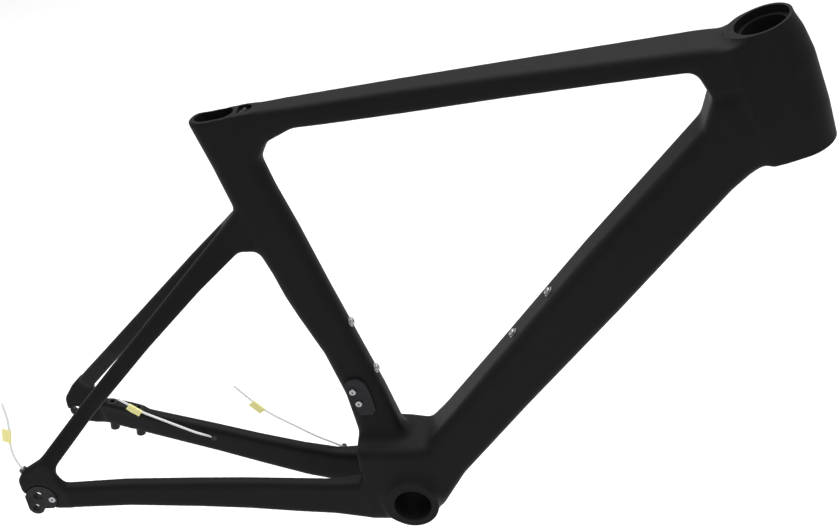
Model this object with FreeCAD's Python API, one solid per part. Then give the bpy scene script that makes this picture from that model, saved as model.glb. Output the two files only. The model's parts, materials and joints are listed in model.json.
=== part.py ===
import FreeCAD, Part
import math
import os

# A bare carbon road frame for disc brakes, without its fork. Millimetres.
# X is forward, Y is the rider's left, Z is up, and the origin is the bottom bracket's centre.
# A station is one section of a tube: its top (x, z), its bottom (x, z), the y of its middle,
# its half width and its corner radius. Neighbouring tubes share the station where they are bonded.

V = FreeCAD.Vector
SIDE = V(0, 1, 0)
OFF_AXIS = V(0.3, 0.8, 0.52)  # along no axis of the frame, to turn a hexagon from

# Bottom bracket shell
BB_BORE_R = 20.5
BB_SHELL_R = 23.5
BB_OUTER_R = 28.5
BB_WIDTH = 86.5
BB_RING = 9.0

# Rear axle and dropouts
AXLE_X = -405.2
AXLE_Z = 69.8
REAR_SPACING = 142.0
DROPOUT_THICK = 9.0
DROPOUT_OUT = REAR_SPACING / 2 + DROPOUT_THICK
AXLE_BORE_R = 6.05
AXLE_THREAD_R = 5.5
AXLE_BOSS_R = 9.0
INSERT_FLANGE_R = 11.0
INSERT_FLANGE = 1.0

# Head tube, measured down its axis from the top face and ahead of the axis
HEAD_TOP = V(389.4, 0, 521.9)
HEAD_ANGLE = 73.1
HEAD_LENGTH = 134.0
HEAD_BACK = -34.0
HEAD_COLLAR = 5.0
HEAD_COLLAR_R = 28.6
HEAD_SIDES = ((HEAD_COLLAR, 29.2, 28.6), (20.0, 33.0, 28.8), (45.0, 35.3, 29.5), (97.0, 33.0, 30.0),
              (HEAD_LENGTH, 29.0, 29.0))
HEAD_WALL = 3.0
HEAD_END_WALL = 14.0
STEERER_R = 21.5
BEARING_R = 26.0
BEARING_DEPTH = 8.0
SEAT_RING_R = 27.2
SEAT_LIP = 3.0

# Walls
TUBE_WALL = 1.5
STAY_WALL = 1.4
MIN_CORNER = 1.0
MIN_FLAT = 0.4
JUNCTION_WALL = 2.2
JUNCTION_REAR = -48.5  # where the junction's hollow ends, behind the shell
BRIDGE_WALL = 2.0
HOLE_GAP = 0.05
THROUGH = 100.0  # length of a cutting tool that only has to pass right through

def head_down():
    angle = math.radians(HEAD_ANGLE)
    return V(math.cos(angle), 0, -math.sin(angle))


def head_point(down, ahead):
    angle = math.radians(HEAD_ANGLE)
    return HEAD_TOP + head_down() * down + V(math.sin(angle), 0, math.cos(angle)) * ahead


def head_back(down):
    """The (x, z) of a point of the head tube's flat back."""
    point = head_point(down, HEAD_BACK)
    return point.x, point.z


TOP_TUBE = [
    (head_back(4.2), head_back(51.2), 0, 27.5, 9),
    ((343.0, 508.5), (342.5, 457.0), 0, 27.0, 9),
    ((330.0, 508.5), (328.5, 484.5), 0, 26.0, 9),
    ((244.0, 503.0), (246.0, 479.0), 0, 22.5, 8),
    ((147.0, 497.0), (149.0, 471.5), 0, 19.0, 8),
    ((55.0, 490.5), (57.0, 464.0), 0, 16.5, 7),
    ((-20.0, 484.5), (-17.0, 459.0), 0, 15.5, 7),
    ((-60.0, 481.3), (-56.0, 457.0), 0, 15.0, 7),
    ((-84.0, 479.4), (-81.0, 445.0), 0, 13.5, 7),
    ((-99.0, 478.2), (-97.0, 445.0), 0, 12.0, 7),
]
DOWN_TUBE = [
    (head_back(51.2), head_back(130.0), 0, 28.5, 11),
    ((342.5, 457.0), (376.0, 375.5), 0, 28.0, 11),
    ((333.0, 424.0), (358.0, 359.0), 0, 27.5, 11),
    ((212.5, 290.5), (244.0, 228.5), 0, 25.0, 11),
    ((110.0, 170.0), (139.0, 113.5), 0, 25.0, 11),
    ((44.0, 92.0), (60.0, 26.0), 0, 28.0, 11),
]
SEAT_TUBE_UPPER = [
    ((-85.5, 479.3), (-159.5, 471.0), 0, 13.0, 12),
    ((-83.0, 445.0), (-151.0, 440.0), 0, 13.0, 12),
    ((-95.0, 424.0), (-145.5, 420.0), 0, 13.0, 12),
    ((-87.0, 390.0), (-137.5, 386.0), 0, 13.0, 12),
    ((-72.5, 342.0), (-126.5, 340.0), 0, 13.0, 12),
    ((-59.0, 292.0), (-109.5, 290.0), 0, 13.0, 12),
]
SEAT_TUBE_LOWER = [
    ((-59.0, 292.0), (-109.5, 290.0), 0, 13.0, 12),
    ((-52.0, 266.0), (-102.0, 262.0), 0, 13.0, 12),
    ((-45.0, 241.0), (-92.5, 236.0), 0, 13.5, 12),
    ((-30.42, 189.0), (-73.0, 187.0), 0, 14.0, 12),
    ((-15.0, 134.0), (-58.5, 132.0), 0, 15.0, 12),
    ((-1.0, 71.5), (-51.0, 75.5), 0, 18.0, 12),
]
JUNCTION = [
    ((44.0, 92.0), (60.0, 26.0), 0, 28.0, 11),
    ((24.0, 69.5), (32.0, -14.0), 0, 33.0, 12),
    ((0.0, 71.42), (4.0, -27.9), 0, 37.0, 12),
    ((-25.0, 73.42), (-22.0, -27.9), 0, 38.0, 12),
    ((-53.0, 75.66), (-50.0, -27.3), 0, 37.0, 12),
]
CHAINSTAY = [
    ((-51.6, 28.0), (-50.1, -24.0), 25.0, 11.5, 6),
    ((-90.0, 28.0), (-90.0, -16.0), 27.5, 8.0, 6),
    ((-130.0, 35.0), (-130.0, -8.0), 31.5, 7.5, 6),
    ((-183.0, 45.5), (-183.0, 6.5), 39.0, 7.5, 6),
    ((-235.0, 56.0), (-235.0, 20.0), 48.0, 7.5, 6),
    ((-310.0, 70.0), (-310.0, 37.5), 61.0, 7.5, 6),
    ((-372.0, 80.0), (-372.0, 49.0), 74.5, 6.5, 5),
]
SEATSTAY = [
    ((-150.5, 350.0), (-137.0, 323.0), 8.8, 6.8, 5),
    ((-200.0, 303.0), (-185.0, 286.0), 23.0, 6.0, 5),
    ((-263.0, 242.0), (-249.5, 229.0), 37.0, 5.6, 5),
    ((-336.0, 171.0), (-323.5, 159.0), 54.0, 5.6, 5),
    ((-390.0, 117.0), (-377.0, 104.0), 73.0, 6.0, 5),
]
BRIDGE = [
    ((-124.0, 375.5), (-108.5, 327.5), 0, 11.5, 8),
    ((-133.5, 367.0), (-118.0, 319.0), 0, 12.5, 8),
    ((-150.5, 350.0), (-137.0, 323.0), 0, 15.6, 5),
]

# Dropout plates seen from the side, as (x, z)
DROPOUT_FRONT = ((-372.0, 80.0), (-372.0, 49.0))
DROPOUT_TOP = ((-390.0, 117.0), (-377.0, 104.0))
DROPOUT_CROTCH = (-379.0, 93.0)
DROPOUT_CORNER = [DROPOUT_TOP[1], DROPOUT_CROTCH, DROPOUT_FRONT[0], DROPOUT_FRONT[1]]
RIGHT_REAR = [(-390.0, 50.0), (-409.0, 53.0), (-418.0, 64.0), (-422.5, 78.0), (-422.5, 91.0), (-414.0, 103.0)]
LEFT_REAR = [(-388.0, 50.0), (-403.0, 54.0), (-413.0, 62.0), (-417.5, 74.0), (-416.5, 87.0), (-404.0, 104.0)]

# Derailleur hanger: a plate in a round recess of the right dropout, with a tab below it
HANGER_X = -402.0
HANGER_Z = 65.5
HANGER_R = 17.5
HANGER_THICK = 4.5
HANGER_PROUD = 0.5
HANGER_FLAT = 14.0
HANGER_RECESS_GAP = 0.6
HANGER_TAB_X = -411.2
HANGER_TAB_Z = 53.3
HANGER_TAB_R = 9.0
HANGER_TAB_THICK = 8.0
HANGER_EYE_R = 4.6
HANGER_SCREW_X = -389.6
HANGER_SCREW_Z = 64.6
HANGER_SCREW_HEAD_R = 3.9
HANGER_SCREW_HEAD = 1.8
HANGER_SCREW_SHANK_R = 2.0
HANGER_SCREW_SHANK = 8.0
HANGER_SCREW_KEY = 2.5

# Bottle cage bosses and their screws, each pair on the line between two surface points of a tube
DOWN_BOSS_LINE = (DOWN_TUBE[4][0], DOWN_TUBE[3][0])
DOWN_BOSS_FIRST = 31.4
SEAT_BOSS_LINE = (SEAT_TUBE_LOWER[4][0], SEAT_TUBE_LOWER[2][0])
SEAT_BOSS_FIRST = 26.5
BOSS_SPACING = 64.0
BOSS_BORE_R = 2.55
BOSS_BODY_R = 3.6
BOSS_BODY = 11.0
BOSS_FLANGE_R = 5.6
BOSS_FLANGE = 0.8
CAGE_HEAD_R = 4.2
CAGE_HEAD = 3.0
CAGE_SHANK_R = 2.5
CAGE_SHANK = 10.0
CAGE_KEY = 3.0
HEAD_ROUNDING = 0.45
KEY_DEPTH_SHARE = 0.65

# Front derailleur mount on the seat tube's right side
FRONT_MOUNT_SCREWS = ((-47.5, 142.5), (-43.2, 126.5))
FRONT_MOUNT_OUTLINE = [(-55.5, 152.0), (-50.0, 157.0), (-40.0, 158.0), (-33.0, 152.0), (-29.0, 138.0),
                       (-26.5, 116.0), (-31.0, 110.0), (-45.0, 110.0)]
FRONT_MOUNT_INNER_Y = -12.5
FRONT_MOUNT_OUTER_Y = -18.0
FRONT_MOUNT_HEAD_R = 3.8
FRONT_MOUNT_HEAD = 2.4
FRONT_MOUNT_SHANK_R = 2.0
FRONT_MOUNT_SHANK = 9.0
FRONT_MOUNT_KEY = 2.5

# Seat post socket and its wedge clamp. `ahead` is counted forward from the post's front face and
# `depth` down from the tube's mouth. The screw and the ramp lean back, so a rising wedge nears the post.
SEAT_ANGLE = 74.6
SOCKET_CENTRE = V(-133.0, 0, 473.9)
SOCKET_LENGTH = 40.0
SOCKET_WIDTH = 20.0
SOCKET_CORNER = 9.5
SLEEVE_DEPTH = 112.0
POCKET_WIDTH = 15.0
POCKET_FRONT = 19.5
POCKET_DEPTH = 34.0
POCKET_REAR = -6.0
RIB_THICK = 4.5
RIB_DEPTH = 8.0
RAMP_LEAN = 8.0
RAMP_TOP = 9.0
RAMP_EAR = 4.0
RAMP_BOTTOM = 33.0
RAMP_FACE = 14.6
RAMP_REAR = 1.0
RAMP_FRONT = 30.0
CLAMP_PLAY = 0.4
WEDGE_GAP = 0.1
WEDGE_TOP = 17.2
WEDGE_BOTTOM = 31.0
WEDGE_REAR = 0.8
CLAMP_SCREW_AHEAD = 9.6
CLAMP_SCREW_R = 2.5
CLAMP_SCREW_LENGTH = 22.0
CLAMP_HEAD_R = 4.2
CLAMP_HEAD = 4.0
CLAMP_KEY = 4.0
CLAMP_KEY_DEPTH = 2.5
CLAMP_SEAT_SINK = 0.7

# Flat mount of the rear brake caliper, on the left chainstay
BRAKE_HOLE_SPACING = 34.0
BRAKE_MIDDLE_X = -343.5
BRAKE_HOLE_R = 2.75
BRAKE_SLEEVE_R = 5.5
BRAKE_SLEEVE_LENGTH = 39.0
BRAKE_SLEEVE_PROUD = 2.0
BRAKE_PAD_SINK = 3.0
BRAKE_PAD_CORNER = 6.0
BRAKE_PAD_HALF_LENGTH = 25.0
BRAKE_PAD_HALF_WIDTH = 7.5

# Cable liners: routes chosen by hand, from the port outwards, and the piece of tape on each
LINER_R = 1.3
ARC_SHARE = 0.45
GEAR_LINER = [V(-413.0, -75.5, 102.5), V(-417.0, -75.2, 112.5), V(-419.8, -74.6, 126.0),
              V(-418.6, -73.6, 141.0), V(-414.6, -72.6, 157.0), V(-412.2, -72.0, 174.5),
              V(-412.6, -72.0, 193.0)]
BRAKE_LINER = [V(-236.5, 42.5, 42.2), V(-251.0, 39.0, 50.0), V(-271.0, 38.4, 62.3), V(-293.0, 38.8, 75.0),
               V(-313.0, 39.4, 86.0), V(-326.5, 40.0, 97.5), V(-337.0, 40.0, 106.5)]
SHIFT_LINER = [V(-84.0, 33.0, 26.0), V(-95.0, 32.6, 34.0), V(-112.0, 31.8, 44.0), V(-138.0, 30.6, 65.0),
               V(-163.0, 30.0, 84.5), V(-178.5, 30.0, 103.0), V(-193.5, 30.0, 123.5)]
TAG_THICK = 0.6
TAG_WIDTH = 8.5
TAG_LENGTH = 17.0
GROMMET_R = 4.4
GROMMET_THICK = 3.0
PORT_R = 3.4
PORT_THICK = 2.6


def unit(vector):
    result = V(vector)
    result.normalize()
    return result


def cylinder(base, axis, radius, length):
    return Part.makeCylinder(radius, length, base, axis)


def mirrored(shape):
    return shape.mirror(V(0, 0, 0), SIDE)


def write(name, shape):
    shape.exportStep("parts/" + name + ".step")
    print(name, round(shape.Volume), len(shape.Solids), shape.isValid())


def rounded_wire(centre, along, across, half_length, half_width, radius):
    """A rounded rectangle around `centre`, in the plane of two unit vectors."""
    radius = min(radius, half_length - MIN_FLAT, half_width - MIN_FLAT)
    half = math.sqrt(0.5)
    corners = []
    for width_sign, length_sign in ((1, -1), (1, 1), (-1, 1), (-1, -1)):
        wide_way = across * width_sign
        long_way = along * length_sign
        middle = centre + wide_way * (half_width - radius) + long_way * (half_length - radius)
        corners.append((middle, wide_way * radius, long_way * radius))
    edges = []
    for index, (middle, wide, long) in enumerate(corners):
        first, last = (long, wide) if index % 2 == 0 else (wide, long)
        edges.append(Part.Arc(middle + first, middle + (wide + long) * half, middle + last).toShape())
        after, next_wide, next_long = corners[(index + 1) % 4]
        start = next_wide if index % 2 == 0 else next_long
        edges.append(Part.LineSegment(middle + last, after + start).toShape())
    return Part.Wire(edges)


def station_wire(station, inset=0.0):
    (x_high, z_high), (x_low, z_low), y, half_width, radius = station
    centre = V((x_high + x_low) / 2, y, (z_high + z_low) / 2)
    span = V(x_high - x_low, 0, z_high - z_low)
    corner = max(radius - inset, MIN_CORNER)
    return rounded_wire(centre, unit(span), SIDE, span.Length / 2 - inset, half_width - inset, corner)


def loft(stations, inset=0.0):
    return Part.makeLoft([station_wire(station, inset) for station in stations], True, True)


def prism(outline, y, thick):
    """A plate from an outline of (x, z) points, from `y` towards +Y."""
    points = [V(x, y, z) for x, z in outline]
    return Part.Face(Part.makePolygon(points + points[:1])).extrude(SIDE * thick)


def hexagon(centre, axis, across_flats, depth):
    """A hexagonal prism from `centre` along `axis`."""
    reach = across_flats / math.sqrt(3)
    start = unit(axis.cross(OFF_AXIS))
    other = unit(axis.cross(start))
    points = []
    for index in range(6):
        turn = math.radians(60 * index)
        points.append(centre + start * (reach * math.cos(turn)) + other * (reach * math.sin(turn)))
    return Part.Face(Part.makePolygon(points + points[:1])).extrude(axis * depth)


def is_rim(edge, seat, out, height):
    """Whether an edge is the circle that goes round a screw head's top."""
    level = (edge.CenterOfMass - seat).dot(out)
    return edge.Curve.TypeId == "Part::GeomCircle" and abs(level - height) < HOLE_GAP


def screw(seat, out, head_r, head, shank_r, shank, key):
    """A button head screw: its head stands on `seat` and its shank goes in, against `out`."""
    top = cylinder(seat, out, head_r, head)
    top = top.makeFillet(head * HEAD_ROUNDING, [edge for edge in top.Edges if is_rim(edge, seat, out, head)])
    body = top.fuse(cylinder(seat, out * -1, shank_r, shank))
    return body.cut(hexagon(seat + out * (head * (1 - KEY_DEPTH_SHARE)), out, key, head))


def head_wire(down, front, half_width, inset=0.0):
    """One level of the head tube: a flat back, straight sides and a round nose."""
    half_width -= inset
    back_right = head_point(down, HEAD_BACK) - SIDE * half_width
    front_right = head_point(down, front - inset - half_width) - SIDE * half_width
    nose = head_point(down, front - inset)
    front_left = front_right + SIDE * (2 * half_width)
    back_left = back_right + SIDE * (2 * half_width)
    edges = [
        Part.LineSegment(back_right, front_right).toShape(),
        Part.Arc(front_right, nose, front_left).toShape(),
        Part.LineSegment(front_left, back_left).toShape(),
        Part.LineSegment(back_left, back_right).toShape(),
    ]
    return Part.Wire(edges)


def head_side_at(down):
    """The nose and the half width of the head tube at a level, between its listed levels."""
    for (low, front_low, wide_low), (high, front_high, wide_high) in zip(HEAD_SIDES, HEAD_SIDES[1:]):
        if low <= down <= high:
            share = (down - low) / (high - low)
            return front_low + (front_high - front_low) * share, wide_low + (wide_high - wide_low) * share
    return HEAD_SIDES[-1][1:]


def build_head():
    body = Part.makeLoft([head_wire(*side) for side in HEAD_SIDES], True, True)
    body = body.fuse(cylinder(HEAD_TOP, head_down(), HEAD_COLLAR_R, HEAD_COLLAR + 1))
    levels = [HEAD_END_WALL] + [side[0] for side in HEAD_SIDES[1:-1]] + [HEAD_LENGTH - HEAD_END_WALL]
    inner = [head_wire(level, *head_side_at(level), HEAD_WALL) for level in levels]
    hollow = Part.makeLoft(inner, True, True)
    seat_depth = BEARING_DEPTH + SEAT_LIP
    body = body.cut(hollow).cut(cylinder(HEAD_TOP, head_down(), STEERER_R, HEAD_LENGTH))
    body = body.cut(cylinder(HEAD_TOP, head_down(), SEAT_RING_R, seat_depth))
    body = body.cut(cylinder(head_point(HEAD_LENGTH - seat_depth, 0), head_down(), SEAT_RING_R, seat_depth))
    write("head_tube", body)
    for name, face, inward in (("upper_headset_seat", 0.0, 1), ("lower_headset_seat", HEAD_LENGTH, -1)):
        axis = head_down() * inward
        ring = cylinder(head_point(face, 0), axis, SEAT_RING_R, seat_depth)
        ring = ring.cut(cylinder(head_point(face, 0), axis, BEARING_R, BEARING_DEPTH))
        write(name, ring.cut(cylinder(head_point(face, 0), axis, STEERER_R, seat_depth)))


def boss_places():
    """Where each bottle boss stands: its tube, its level, its seat on the tube and the way it points."""
    places = []
    for tube, line, first, turn in (("down_tube", DOWN_BOSS_LINE, DOWN_BOSS_FIRST, 1),
                                    ("seat_tube", SEAT_BOSS_LINE, SEAT_BOSS_FIRST, -1)):
        start, end = (V(x, 0, z) for x, z in line)
        run = unit(end - start)
        out = V(-run.z, 0, run.x) * turn
        for level, distance in (("lower", first), ("upper", first + BOSS_SPACING)):
            places.append((tube, level, start + run * distance, out))
    return places


def boss_holes(tube):
    owned = [(seat, out) for owner, _, seat, out in boss_places() if owner == tube]
    holes = [cylinder(seat - out * BOSS_BODY, out, BOSS_BODY_R, 2 * BOSS_BODY) for seat, out in owned]
    return holes[0].fuse(holes[1])


def front_mount_holes():
    radius = FRONT_MOUNT_SHANK_R + HOLE_GAP
    return [cylinder(V(x, -THROUGH, z), SIDE, radius, THROUGH) for x, z in FRONT_MOUNT_SCREWS]


def build_main_triangle():
    seat_upper = loft(SEAT_TUBE_UPPER)
    write("top_tube", loft(TOP_TUBE).cut(loft(TOP_TUBE, TUBE_WALL)).cut(seat_upper))
    write("down_tube", loft(DOWN_TUBE).cut(loft(DOWN_TUBE, TUBE_WALL)).cut(boss_holes("down_tube")))
    write("seat_tube_upper", seat_upper.cut(loft(SEAT_TUBE_UPPER, TUBE_WALL)))
    lower = loft(SEAT_TUBE_LOWER).cut(loft(SEAT_TUBE_LOWER, TUBE_WALL)).cut(boss_holes("seat_tube"))
    for hole in front_mount_holes():
        lower = lower.cut(hole)
    write("seat_tube_lower", lower)
    write("seatstay_bridge", loft(BRIDGE).cut(loft(BRIDGE, BRIDGE_WALL)).cut(seat_upper))


def build_bottom_bracket():
    base = V(0, -BB_WIDTH / 2, 0)
    opening = cylinder(base, SIDE, BB_SHELL_R, BB_WIDTH)
    behind = Part.makeBox(THROUGH, 2 * THROUGH, 2 * THROUGH, V(JUNCTION_REAR - THROUGH, -THROUGH, -THROUGH))
    junction = loft(JUNCTION).cut(loft(JUNCTION, JUNCTION_WALL).cut(behind))
    for start in (-BB_WIDTH / 2, BB_WIDTH / 2 - BB_RING):
        junction = junction.fuse(cylinder(V(0, start, 0), SIDE, BB_OUTER_R, BB_RING))
    write("bottom_bracket_junction", junction.cut(opening))
    write("bottom_bracket_shell", opening.cut(cylinder(base, SIDE, BB_BORE_R, BB_WIDTH)))


def brake_frame():
    """The brake mount's middle on the stay, the way along the stay and the way up from it."""
    fore, aft = CHAINSTAY[-2], CHAINSTAY[-1]
    share = (BRAKE_MIDDLE_X - fore[0][0]) / (aft[0][0] - fore[0][0])
    top = fore[0][1] + (aft[0][1] - fore[0][1]) * share
    side = fore[2] + (aft[2] - fore[2]) * share
    along = unit(V(aft[0][0] - fore[0][0], aft[2] - fore[2], aft[0][1] - fore[0][1]))
    up = unit(V(along.z, 0, -along.x))
    return V(BRAKE_MIDDLE_X, side, top), along, up


def build_stays():
    stay = loft(CHAINSTAY)
    hollow = stay.cut(loft(CHAINSTAY, STAY_WALL))
    middle, along, up = brake_frame()
    across = unit(up.cross(along))
    outline = rounded_wire(middle - up * BRAKE_PAD_SINK, along, across, BRAKE_PAD_HALF_LENGTH,
                           BRAKE_PAD_HALF_WIDTH, BRAKE_PAD_CORNER)
    pad = Part.Face(outline).extrude(up * (BRAKE_PAD_SINK + BRAKE_SLEEVE_PROUD)).cut(stay)
    left = hollow
    sleeves = []
    for sign in (-1, 1):
        head = middle + along * (sign * BRAKE_HOLE_SPACING / 2) + up * BRAKE_SLEEVE_PROUD
        foot = head - up * BRAKE_SLEEVE_LENGTH
        sleeve = cylinder(foot, up, BRAKE_SLEEVE_R, BRAKE_SLEEVE_LENGTH)
        left = left.cut(sleeve)
        pad = pad.cut(sleeve)
        sleeves.append(sleeve.cut(cylinder(foot, up, BRAKE_HOLE_R, BRAKE_SLEEVE_LENGTH)))
    write("chainstay_left", left)
    write("chainstay_right", mirrored(hollow))
    write("brake_mount_pad", pad)
    write("brake_mount_sleeves", Part.makeCompound(sleeves))
    seatstay = loft(SEATSTAY).cut(loft(SEATSTAY, STAY_WALL))
    write("seatstay_left", seatstay)
    write("seatstay_right", mirrored(seatstay))


def hanger_shape(grow):
    """The hanger's plate and tab on the right dropout, `grow` wider all round."""
    out_y = -(DROPOUT_OUT + HANGER_PROUD)
    plate = cylinder(V(HANGER_X, out_y, HANGER_Z), SIDE, HANGER_R + grow, HANGER_THICK + HANGER_PROUD)
    low = V(HANGER_X - THROUGH, -THROUGH, HANGER_Z - HANGER_FLAT - THROUGH)
    plate = plate.cut(Part.makeBox(2 * THROUGH, THROUGH, THROUGH, low))
    half = HANGER_TAB_R + grow
    tab = cylinder(V(HANGER_TAB_X, out_y, HANGER_TAB_Z), SIDE, half, HANGER_TAB_THICK)
    neck = Part.makeBox(2 * half, HANGER_TAB_THICK, AXLE_Z - HANGER_TAB_Z,
                        V(HANGER_TAB_X - half, out_y, HANGER_TAB_Z))
    return plate.fuse(tab.fuse(neck))


def across_hole(x, z, radius):
    """A cutting tool straight across the frame, on both sides."""
    return cylinder(V(x, -THROUGH, z), SIDE, radius, 2 * THROUGH)


def right_dropout_plate():
    return prism(DROPOUT_CORNER + RIGHT_REAR + [DROPOUT_TOP[0]], -DROPOUT_OUT, DROPOUT_THICK)


def build_dropouts():
    axle = across_hole(AXLE_X, AXLE_Z, AXLE_BOSS_R)
    left = prism(DROPOUT_CORNER + LEFT_REAR + [DROPOUT_TOP[0]], REAR_SPACING / 2, DROPOUT_THICK)
    write("dropout_left", left.cut(axle))
    screw_hole = across_hole(HANGER_SCREW_X, HANGER_SCREW_Z, HANGER_SCREW_SHANK_R + HOLE_GAP)
    right = right_dropout_plate().cut(hanger_shape(HANGER_RECESS_GAP)).cut(axle)
    write("dropout_right", right.cut(screw_hole))

    insert = cylinder(V(AXLE_X, REAR_SPACING / 2, AXLE_Z), SIDE, AXLE_BOSS_R, DROPOUT_THICK)
    insert = insert.fuse(cylinder(V(AXLE_X, DROPOUT_OUT, AXLE_Z), SIDE, INSERT_FLANGE_R, INSERT_FLANGE))
    write("thru_axle_insert", insert.cut(across_hole(AXLE_X, AXLE_Z, AXLE_BORE_R)))

    boss_y = -(DROPOUT_OUT - HANGER_THICK)
    boss = cylinder(V(AXLE_X, boss_y, AXLE_Z), SIDE, AXLE_BOSS_R - HOLE_GAP, -boss_y - REAR_SPACING / 2)
    hanger = hanger_shape(0).fuse(boss).cut(across_hole(AXLE_X, AXLE_Z, AXLE_THREAD_R))
    hanger = hanger.cut(across_hole(HANGER_TAB_X, HANGER_TAB_Z, HANGER_EYE_R))
    write("derailleur_hanger", hanger.cut(screw_hole))
    seat = V(HANGER_SCREW_X, -(DROPOUT_OUT + HANGER_PROUD), HANGER_SCREW_Z)
    write("hanger_screw", screw(seat, -SIDE, HANGER_SCREW_HEAD_R, HANGER_SCREW_HEAD, HANGER_SCREW_SHANK_R,
                                HANGER_SCREW_SHANK, HANGER_SCREW_KEY))


def build_bosses():
    for tube, level, seat, out in boss_places():
        name = tube + "_boss_" + level
        nut = cylinder(seat, out, BOSS_FLANGE_R, BOSS_FLANGE)
        nut = nut.fuse(cylinder(seat - out * BOSS_BODY, out, BOSS_BODY_R, BOSS_BODY))
        write(name, nut.cut(cylinder(seat - out * THROUGH, out, BOSS_BORE_R, 2 * THROUGH)))
        top = seat + out * BOSS_FLANGE
        write(tube + "_cage_screw_" + level,
              screw(top, out, CAGE_HEAD_R, CAGE_HEAD, CAGE_SHANK_R, CAGE_SHANK, CAGE_KEY))


def build_front_mount():
    plate = prism(FRONT_MOUNT_OUTLINE, FRONT_MOUNT_OUTER_Y, FRONT_MOUNT_INNER_Y - FRONT_MOUNT_OUTER_Y)
    plate = plate.cut(loft(SEAT_TUBE_LOWER))
    for level, (x, z), hole in zip(("upper", "lower"), FRONT_MOUNT_SCREWS, front_mount_holes()):
        plate = plate.cut(hole)
        write("front_mount_screw_" + level,
              screw(V(x, FRONT_MOUNT_OUTER_Y, z), -SIDE, FRONT_MOUNT_HEAD_R, FRONT_MOUNT_HEAD,
                    FRONT_MOUNT_SHANK_R, FRONT_MOUNT_SHANK, FRONT_MOUNT_KEY))
    write("front_derailleur_mount", plate)


def seat_point(depth, ahead, y=0.0):
    """A point by its depth below the mouth and its distance ahead of the post's front face."""
    angle = math.radians(SEAT_ANGLE)
    fore = V(math.sin(angle), 0, math.cos(angle))
    down = V(math.cos(angle), 0, -math.sin(angle))
    return SOCKET_CENTRE + fore * (SOCKET_LENGTH / 2 + ahead) + down * depth + SIDE * y


def ramp_up():
    angle = math.radians(SEAT_ANGLE - RAMP_LEAN)
    return V(-math.cos(angle), 0, math.sin(angle))


def seat_block(outline, width):
    """A block across the seat tube from an outline of (depth, ahead) points."""
    points = [seat_point(depth, ahead, -width / 2) for depth, ahead in outline]
    return Part.Face(Part.makePolygon(points + points[:1])).extrude(SIDE * width)


def pocket_shape(top, bottom, rear, grow=0.0):
    """The room for the clamp between two depths: straight sides and a round front."""
    half = POCKET_WIDTH / 2 + grow
    front = POCKET_FRONT + grow
    right = [seat_point(bottom, rear, -half), seat_point(bottom, front - half, -half)]
    left = [seat_point(bottom, front - half, half), seat_point(bottom, rear, half)]
    edges = [
        Part.LineSegment(right[0], right[1]).toShape(),
        Part.Arc(right[1], seat_point(bottom, front), left[0]).toShape(),
        Part.LineSegment(left[0], left[1]).toShape(),
        Part.LineSegment(left[1], right[0]).toShape(),
    ]
    return Part.Face(Part.Wire(edges)).extrude(seat_point(top, 0) - seat_point(bottom, 0))


def build_seat_clamp():
    up = unit(seat_point(0, 0) - seat_point(1, 0))
    fore = unit(seat_point(0, 1) - seat_point(0, 0))
    sleeve = loft(SEAT_TUBE_UPPER, TUBE_WALL)
    foot = V(SOCKET_CENTRE.x - THROUGH, -THROUGH, SOCKET_CENTRE.z - SLEEVE_DEPTH - THROUGH)
    sleeve = sleeve.cut(Part.makeBox(2 * THROUGH, 2 * THROUGH, THROUGH, foot))
    above = SOCKET_CENTRE + up * THROUGH
    socket = rounded_wire(above, fore, SIDE, SOCKET_LENGTH / 2, SOCKET_WIDTH / 2, SOCKET_CORNER)
    sleeve = sleeve.cut(Part.Face(socket).extrude(up * (-3 * THROUGH)))
    sleeve = sleeve.cut(pocket_shape(-THROUGH, RIB_DEPTH + 1, RIB_THICK))
    write("seatpost_sleeve", sleeve.cut(pocket_shape(RIB_DEPTH, POCKET_DEPTH, POCKET_REAR)))

    lean = math.tan(math.radians(RAMP_LEAN))
    ear_bottom = RAMP_TOP + RAMP_EAR
    outline = [(RAMP_TOP, RAMP_REAR), (RAMP_TOP, RAMP_FRONT), (RAMP_BOTTOM, RAMP_FRONT),
               (RAMP_BOTTOM, RAMP_FACE + (RAMP_BOTTOM - WEDGE_TOP) * lean),
               (ear_bottom, RAMP_FACE + (ear_bottom - WEDGE_TOP) * lean), (ear_bottom, RAMP_REAR)]
    room = pocket_shape(0, RAMP_BOTTOM, POCKET_REAR, -CLAMP_PLAY)
    screw_seat = seat_point(RAMP_TOP + CLAMP_SEAT_SINK, CLAMP_SCREW_AHEAD)
    axis = ramp_up()
    hole = cylinder(screw_seat - axis * THROUGH, axis, CLAMP_SCREW_R + HOLE_GAP, 2 * THROUGH)
    spot = cylinder(screw_seat, axis, CLAMP_HEAD_R + CLAMP_PLAY, THROUGH)
    write("clamp_ramp", seat_block(outline, POCKET_WIDTH).common(room).cut(hole).cut(spot))

    wedge_face = RAMP_FACE - WEDGE_GAP
    outline = [(WEDGE_TOP, WEDGE_REAR), (WEDGE_TOP, wedge_face),
               (WEDGE_BOTTOM, wedge_face + (WEDGE_BOTTOM - WEDGE_TOP) * lean), (WEDGE_BOTTOM, WEDGE_REAR)]
    write("clamp_wedge", seat_block(outline, POCKET_WIDTH - 2 * CLAMP_PLAY).common(room).cut(hole))

    body = cylinder(screw_seat, axis, CLAMP_HEAD_R, CLAMP_HEAD)
    body = body.fuse(cylinder(screw_seat, axis * -1, CLAMP_SCREW_R, CLAMP_SCREW_LENGTH))
    key = hexagon(screw_seat + axis * (CLAMP_HEAD - CLAMP_KEY_DEPTH), axis, CLAMP_KEY, CLAMP_HEAD)
    write("clamp_screw", body.cut(key))


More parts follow.
